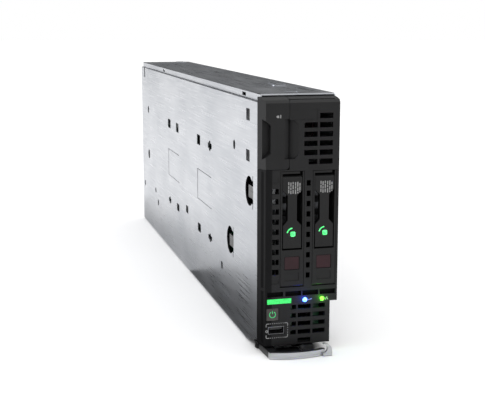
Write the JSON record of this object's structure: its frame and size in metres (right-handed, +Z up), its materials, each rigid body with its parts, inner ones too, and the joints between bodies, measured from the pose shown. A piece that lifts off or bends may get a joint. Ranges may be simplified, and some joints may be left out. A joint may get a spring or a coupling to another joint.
{
  "type": "blade server",
  "caption": "Upright half-height blade server: sheet-steel chassis, slotted bezel, latched hot-plug drive carriers, pull-out tab and swinging release lever.",
  "frame": {"origin": "under the middle of the closed blade's box, on the surface it stands on", "axes": "+X from the bare side wall to the access cover, +Y from the bezel to the rear connectors, +Z up"},
  "size_m": [0.0554, 0.5174, 0.1806],
  "materials": {
    "galvanised_sheet": "hot-dip galvanised sheet, rolled",
    "steel_bracket": "zinc-plated pressed steel",
    "black_steel": "black e-coated pressed steel",
    "bright_metal": "satin stainless",
    "steel_fasteners": "zinc-plated",
    "socket_metal": "stamped load plate",
    "heat_sink_metal": "extruded, bare",
    "drive_metal": "die-cast, satin",
    "bezel_plastic": "fine moulded texture",
    "carrier_plastic": "fine moulded texture",
    "inner_plastic": "moulded",
    "baffle_plastic": "moulded",
    "touch_plastic": "burgundy touch point",
    "button_grey": "textured",
    "port_tongue": "moulded",
    "light_ring": "smoked clear plastic",
    "green_light": "lit light pipe",
    "blue_light": "lit light pipe",
    "circuit_board": "solder mask over glass laminate",
    "module_board": "solder mask over glass laminate"
  },
  "bodies": {
    "chassis": {"chassis_pan": "galvanised_sheet", "chassis_screws": "steel_fasteners", "rear_grille": "steel_bracket", "bezel": "bezel_plastic", "tab_guide": "inner_plastic", "status_bar_lens": "green_light", "id_lens": "blue_light", "network_lens": "green_light", "front_port_shell": "steel_bracket", "front_port_tongue": "port_tongue", "front_panel_board": "circuit_board", "power_switch": "inner_plastic", "lever_bracket": "black_steel", "lever_pin": "steel_fasteners", "catch_rail": "black_steel", "drive_cage": "steel_bracket", "drive_backplane": "circuit_board", "backplane_connectors": "inner_plastic", "system_board": "circuit_board", "board_standoffs": "steel_fasteners", "processor_sockets": "socket_metal", "heat_sink_front": "heat_sink_metal", "heat_sink_rear": "heat_sink_metal", "heat_sink_screws": "steel_fasteners", "power_stages": "inner_plastic", "memory_sockets_upper": "inner_plastic", "memory_sockets_lower": "inner_plastic", "memory_modules_upper": "module_board", "memory_modules_lower": "module_board", "air_baffle_upper": "baffle_plastic", "air_baffle_lower": "baffle_plastic", "network_adapter": "circuit_board", "storage_controller": "circuit_board", "mezzanine_card_upper": "circuit_board", "mezzanine_card_lower": "circuit_board", "card_connectors": "inner_plastic", "capacitor_pack": "inner_plastic", "coin_cell": "steel_fasteners", "coin_cell_holder": "inner_plastic", "signal_connectors": "inner_plastic", "power_connector": "inner_plastic"},
    "release_lever": {"release_lever": "black_steel", "lever_grip": "bright_metal"},
    "release_catch": {"release_catch": "steel_bracket"},
    "info_tab": {"info_tab": "bezel_plastic"},
    "power_button": {"power_button": "button_grey"},
    "access_cover": {"access_cover": "galvanised_sheet"},
    "cover_button": {"cover_button": "touch_plastic"},
    "carrier_1": {"drive_carrier_1": "carrier_plastic", "drive_1": "drive_metal", "drive_screws_1": "steel_fasteners"},
    "carrier_lever_1": {"drive_lever_1": "carrier_plastic", "drive_light_1": "light_ring"},
    "carrier_button_1": {"drive_button_1": "touch_plastic"},
    "carrier_2": {"drive_carrier_2": "carrier_plastic", "drive_2": "drive_metal", "drive_screws_2": "steel_fasteners"},
    "carrier_lever_2": {"drive_lever_2": "carrier_plastic", "drive_light_2": "light_ring"},
    "carrier_button_2": {"drive_button_2": "touch_plastic"}
  },
  "joints": [
    {"name": "lever_swing", "type": "hinge", "parent": "chassis", "child": "release_lever", "pos_m": [-0.0215, -0.2273, 0.0025], "axis": [0, 0, -1], "range_deg": [0, 90]},
    {"name": "catch_press", "type": "slide", "parent": "chassis", "child": "release_catch", "axis": [-1, 0, 0], "range_m": [0, 0.0025], "stiffness_N_per_m": 400},
    {"name": "tab_pull", "type": "slide", "parent": "chassis", "child": "info_tab", "axis": [0, -1, 0], "range_m": [0, 0.04]},
    {"name": "power_press", "type": "slide", "parent": "chassis", "child": "power_button", "axis": [0, 1, 0], "range_m": [0, 0.001], "stiffness_N_per_m": 500},
    {"name": "cover_slide", "type": "slide", "parent": "chassis", "child": "access_cover", "axis": [0, 1, 0], "range_m": [0, 0.014]},
    {"name": "cover_button_press", "type": "slide", "parent": "access_cover", "child": "cover_button", "axis": [-1, 0, 0], "range_m": [0, 0.001], "stiffness_N_per_m": 500},
    {"name": "carrier_pull_1", "type": "slide", "parent": "chassis", "child": "carrier_1", "axis": [0, -1, 0], "range_m": [0, 0.1]},
    {"name": "carrier_lever_swing_1", "type": "hinge", "parent": "carrier_1", "child": "carrier_lever_1", "pos_m": [-0.00535, -0.2411, 0.1204], "axis": [-1, 0, 0], "range_deg": [0, 45]},
    {"name": "carrier_button_press_1", "type": "slide", "parent": "carrier_1", "child": "carrier_button_1", "axis": [0, 1, 0], "range_m": [0, 0.0015], "stiffness_N_per_m": 400},
    {"name": "carrier_pull_2", "type": "slide", "parent": "chassis", "child": "carrier_2", "axis": [0, -1, 0], "range_m": [0, 0.1]},
    {"name": "carrier_lever_swing_2", "type": "hinge", "parent": "carrier_2", "child": "carrier_lever_2", "pos_m": [0.01755, -0.2411, 0.1204], "axis": [-1, 0, 0], "range_deg": [0, 45]},
    {"name": "carrier_button_press_2", "type": "slide", "parent": "carrier_2", "child": "carrier_button_2", "axis": [0, 1, 0], "range_m": [0, 0.0015], "stiffness_N_per_m": 400}
  ]
}
